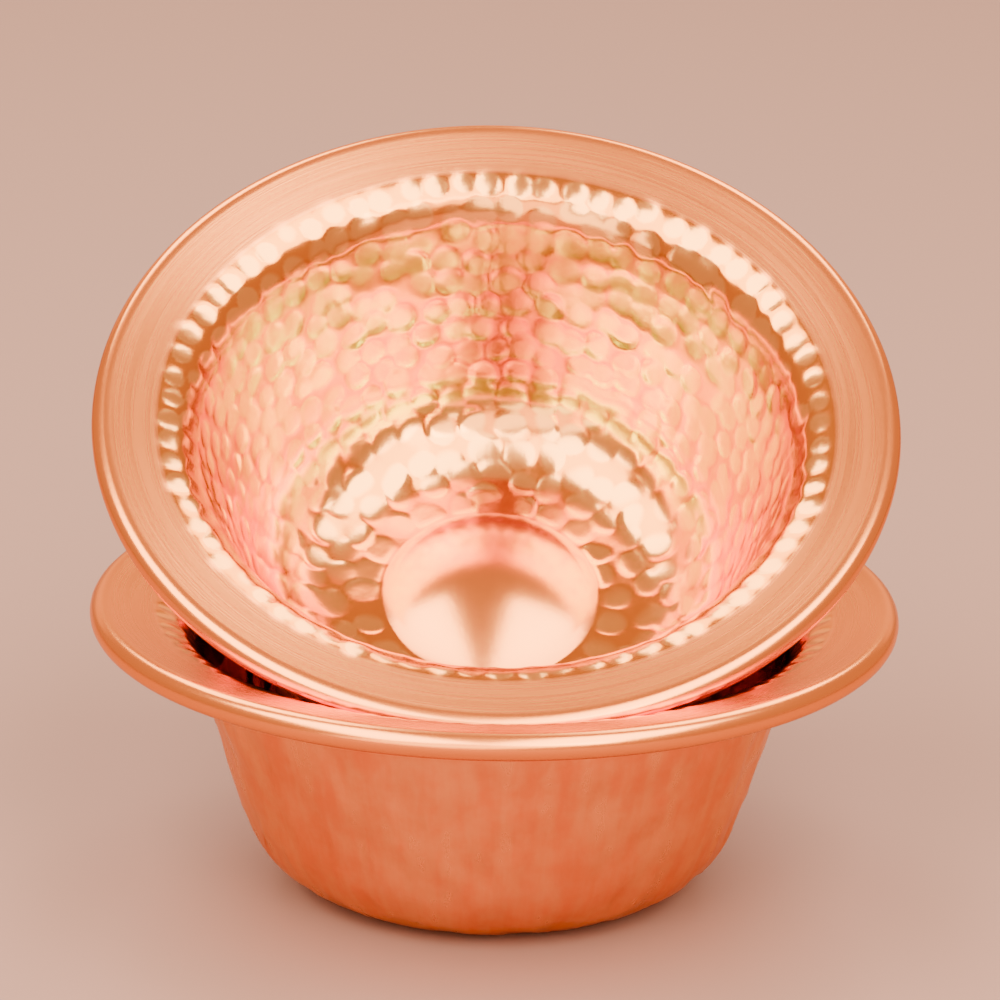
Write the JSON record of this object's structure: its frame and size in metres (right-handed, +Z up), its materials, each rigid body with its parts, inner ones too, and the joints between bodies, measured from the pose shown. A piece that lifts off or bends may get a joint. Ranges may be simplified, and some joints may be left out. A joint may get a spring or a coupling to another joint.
{
  "type": "pair of hammered bowls",
  "caption": "Small round hammered copper bowls with wide rolled rims and a raised dome in the floor, one leaning in the other, and free to lift off.",
  "frame": {"origin": "centre of the flat ring that the lower bowl stands on, on the table's surface", "axes": "+Z up along the lower bowl's axis; the upper bowl leans towards -Y, so its open mouth faces -Y and up; +X to the right seen from -Y"},
  "size_m": [0.1, 0.1, 0.0843],
  "materials": {
    "hammered_copper": "hammered copper, satin outside and polished inside",
    "rim_wire": "drawn steel wire"
  },
  "bodies": {
    "lower": {"lower_bowl": "hammered_copper", "lower_rim_wire": "rim_wire"},
    "upper": {"upper_bowl": "hammered_copper", "upper_rim_wire": "rim_wire"}
  },
  "joints": [
    {"name": "upper_lift_off", "type": "slide", "parent": "lower", "child": "upper", "axis": [0, 0, 1], "range_m": [0, 0.06]}
  ]
}
